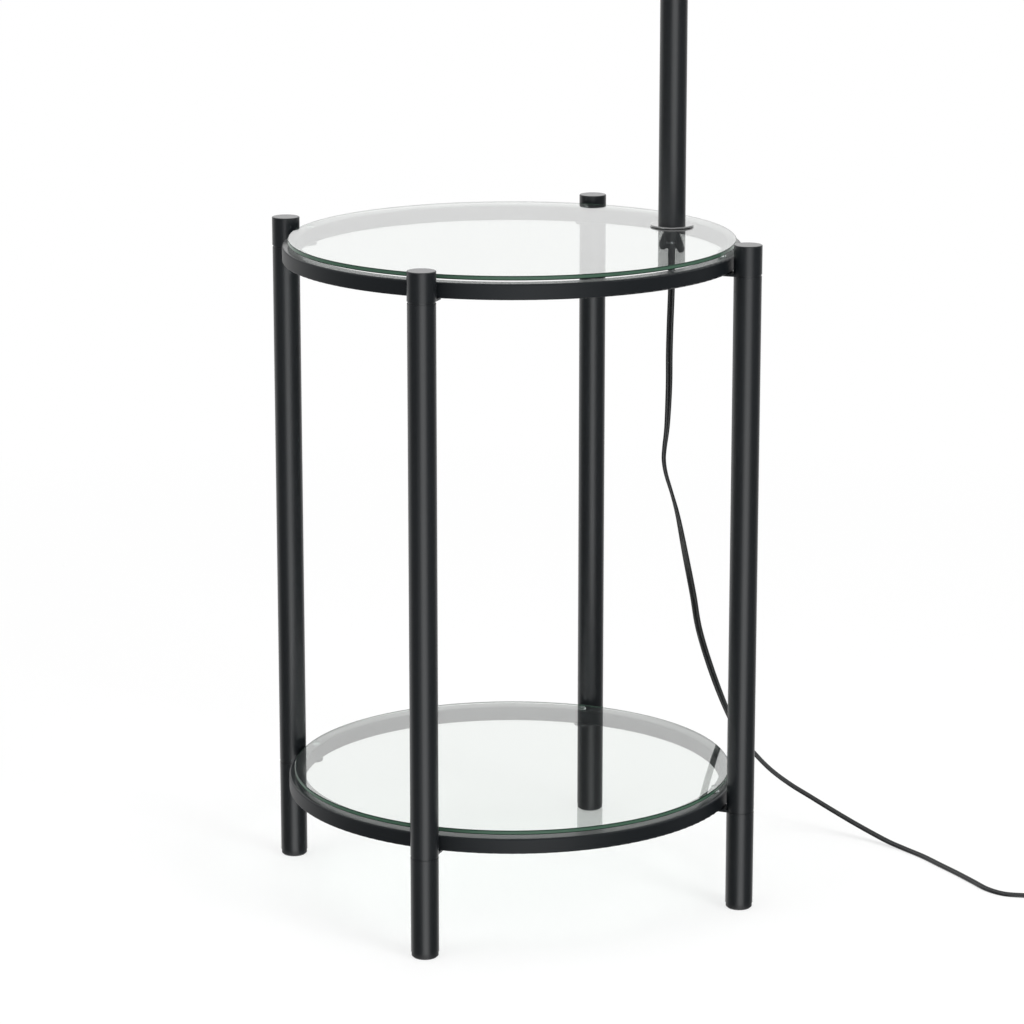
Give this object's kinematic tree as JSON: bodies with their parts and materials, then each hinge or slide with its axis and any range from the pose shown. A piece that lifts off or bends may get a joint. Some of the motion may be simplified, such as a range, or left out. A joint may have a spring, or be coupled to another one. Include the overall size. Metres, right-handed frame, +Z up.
{
  "type": "floor lamp with table",
  "caption": "Floor lamp built into a round black steel side table with clear glass shelves, with a slim pole on the top glass, a drum shade and a flat cord.",
  "frame": {"origin": "on the floor, at the middle of the table's four legs", "axes": "+Z up along the pole; the legs stand on the diagonals of X and Y, and the pole stands towards +X"},
  "size_m": [0.7383, 0.5549, 1.5145],
  "materials": {
    "black_steel": "satin black powder coat on steel",
    "zinc_steel": "zinc plated",
    "black_casting": "black painted zinc casting",
    "black_nylon": "moulded, matt",
    "black_phenolic": "moulded, semi-matt",
    "clear_pad": "clear silicone",
    "black_rubber": "matt",
    "glass": "clear tempered float glass with a bevelled green edge",
    "liner_card": "fibre liner",
    "brass": "bright",
    "bulb_metal": "rolled",
    "frosted_glass": "frosted",
    "linen": "woven off-white linen on a backing sheet",
    "white_wire": "white coated wire",
    "cord_jacket": "flexible black PVC"
  },
  "bodies": {
    "stand": {"lower_ring": "black_steel", "upper_ring": "black_steel", "lower_plates": "black_steel", "upper_plates": "black_steel", "foot_tube_front_left": "black_steel", "foot_tube_front_right": "black_steel", "foot_tube_back_right": "black_steel", "foot_tube_back_left": "black_steel", "leg_tube_front_left": "black_steel", "leg_tube_front_right": "black_steel", "leg_tube_back_right": "black_steel", "leg_tube_back_left": "black_steel", "leg_head_front_left": "black_steel", "leg_head_front_right": "black_steel", "leg_head_back_right": "black_steel", "leg_head_back_left": "black_steel", "leg_inserts": "zinc_steel", "leg_studs": "zinc_steel", "foot_glides": "black_nylon", "lower_pads": "clear_pad", "upper_pads": "clear_pad", "lower_glass": "glass", "upper_glass": "glass", "pole_flange": "black_steel", "top_gasket": "black_rubber", "under_gasket": "black_rubber", "under_washer": "black_steel", "foot_nipple": "zinc_steel", "cord_bush": "black_nylon", "pole_lower": "black_steel", "pole_upper": "black_steel", "pole_inserts": "zinc_steel", "pole_coupling": "zinc_steel", "pole_cap": "black_steel", "socket_nipple": "zinc_steel", "inner_cord": "cord_jacket", "harp_saddle": "black_steel", "harp": "black_steel", "socket_cap": "black_steel", "socket_shell": "black_steel", "socket_liner": "liner_card", "socket_core": "black_phenolic", "screw_shell": "brass", "centre_contact": "brass", "cord_run": "cord_jacket", "cord_coil": "cord_jacket", "plug_body": "cord_jacket", "plug_blades": "brass"},
    "switch_knob": {"switch_knob": "black_phenolic"},
    "wing_nut": {"wing_nut": "black_casting"},
    "bulb": {"bulb_base": "bulb_metal", "bulb_tip": "bulb_metal", "bulb_glass": "frosted_glass"},
    "sleeve_left": {"harp_sleeve_left": "black_steel"},
    "sleeve_right": {"harp_sleeve_right": "black_steel"},
    "shade": {"shade_cloth": "linen", "shade_bottom_wire": "white_wire", "shade_spider": "white_wire"},
    "finial": {"finial": "black_steel"}
  },
  "joints": [
    {"name": "switch_turn", "type": "hinge", "parent": "stand", "child": "switch_knob", "pos_m": [0.15707, -0.03351, 1.3046], "axis": [0, -1, 0], "continuous": true},
    {"name": "wing_nut_turn", "type": "hinge", "parent": "stand", "child": "wing_nut", "pos_m": [0.15707, -0.00851, 0.5952], "axis": [0, 0, 1], "continuous": true},
    {"name": "bulb_turn", "type": "hinge", "parent": "stand", "child": "bulb", "pos_m": [0.15707, -0.00851, 1.3406], "axis": [0, 0, 1], "range_deg": [0, 900]},
    {"name": "sleeve_left_lift", "type": "slide", "parent": "stand", "child": "sleeve_left", "axis": [0, 0, 1], "range_m": [0, 0.018]},
    {"name": "sleeve_right_lift", "type": "slide", "parent": "stand", "child": "sleeve_right", "axis": [0, 0, 1], "range_m": [0, 0.018]},
    {"name": "shade_turn", "type": "hinge", "parent": "stand", "child": "shade", "pos_m": [0.15707, -0.00851, 1.4877], "axis": [0, 0, 1], "continuous": true},
    {"name": "finial_turn", "type": "hinge", "parent": "shade", "child": "finial", "pos_m": [0.15707, -0.00851, 1.4937], "axis": [0, 0, 1], "continuous": true}
  ]
}
